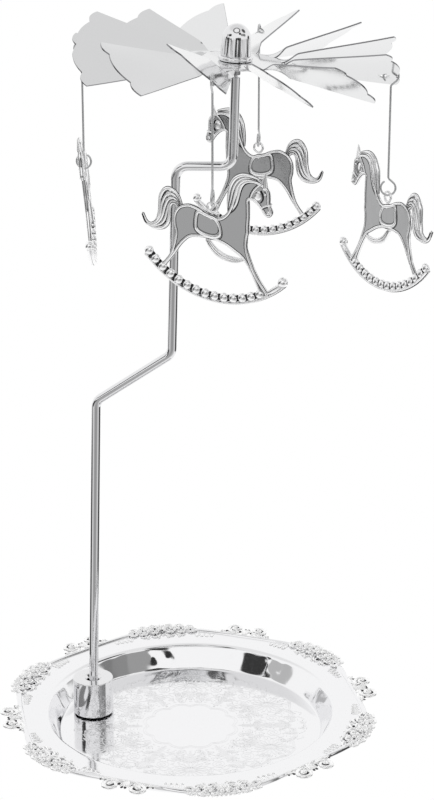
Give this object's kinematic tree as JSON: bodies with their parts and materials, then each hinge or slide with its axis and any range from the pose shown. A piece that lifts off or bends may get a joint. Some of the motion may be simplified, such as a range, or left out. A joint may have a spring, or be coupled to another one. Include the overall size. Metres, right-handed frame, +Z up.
{
  "type": "rotating candle holder",
  "caption": "Candle-driven carousel: a plate for a tea light, a cranked post on a magnetic foot, and a bladed rotor on a point that carries rocking horses on wire hooks.",
  "frame": {"origin": "centre of the plate's flat underside", "axes": "+Z up; +Y away from the camera of the picture; +X to its right"},
  "size_m": [0.1076, 0.0986, 0.1888],
  "materials": {
    "silver_plate": "bright silver plate, engraved",
    "chrome": "polished plating",
    "satin_sheet": "satin plated sheet",
    "cast_silver": "plated casting",
    "wire": "drawn wire",
    "magnet": "dull black"
  },
  "bodies": {
    "base": {"plate": "silver_plate", "foot_magnet": "magnet", "post_foot": "chrome", "post": "chrome", "pivot_needle": "wire"},
    "rotor": {"rotor": "satin_sheet", "hub_bush": "chrome", "dome_cap": "chrome"},
    "hook_right": {"hook_right": "wire"},
    "hook_back": {"hook_back": "wire"},
    "hook_left": {"hook_left": "wire"},
    "hook_front": {"hook_front": "wire"},
    "horse_right": {"horse_right": "cast_silver"},
    "horse_back": {"horse_back": "cast_silver"},
    "horse_left": {"horse_left": "cast_silver"},
    "horse_front": {"horse_front": "cast_silver"}
  },
  "joints": [
    {"name": "rotor_spin", "type": "hinge", "parent": "base", "child": "rotor", "pos_m": [0.01153, 0.00015, 0.17862], "axis": [0.0497, -0.0418, 0.9979], "continuous": true},
    {"name": "hook_swing_right", "type": "hinge", "parent": "rotor", "child": "hook_right", "pos_m": [0.04854, -0.0058, 0.17596], "axis": [-0.1586, -0.9873, 0], "range_deg": [-6, 30]},
    {"name": "hook_swing_back", "type": "hinge", "parent": "rotor", "child": "hook_back", "pos_m": [0.0186, 0.03738, 0.18058], "axis": [0.9825, -0.1864, 0], "range_deg": [-6, 30]},
    {"name": "hook_swing_left", "type": "hinge", "parent": "rotor", "child": "hook_left", "pos_m": [-0.02569, 0.00616, 0.18085], "axis": [0.1594, 0.9872, 0], "range_deg": [-6, 30]},
    {"name": "hook_swing_front", "type": "hinge", "parent": "rotor", "child": "hook_front", "pos_m": [0.00552, -0.03739, 0.1798], "axis": [-0.9874, 0.1582, 0], "range_deg": [-6, 30]},
    {"name": "horse_rock_right", "type": "hinge", "parent": "hook_right", "child": "horse_right", "pos_m": [0.04854, -0.0058, 0.14696], "axis": [0.87, 0.4922, -0.0279], "range_deg": [-20, 20]},
    {"name": "horse_rock_back", "type": "hinge", "parent": "hook_back", "child": "horse_back", "pos_m": [0.0186, 0.03738, 0.15077], "axis": [0.4616, 0.8867, -0.0279], "range_deg": [-20, 20]},
    {"name": "horse_rock_left", "type": "hinge", "parent": "hook_left", "child": "horse_left", "pos_m": [-0.02569, 0.00616, 0.15136], "axis": [-0.9952, -0.0261, -0.0941], "range_deg": [-20, 20]},
    {"name": "horse_rock_front", "type": "hinge", "parent": "hook_front", "child": "horse_front", "pos_m": [0.00552, -0.03739, 0.15161], "axis": [-0.4919, -0.8589, -0.1426], "range_deg": [-16, 24]}
  ]
}
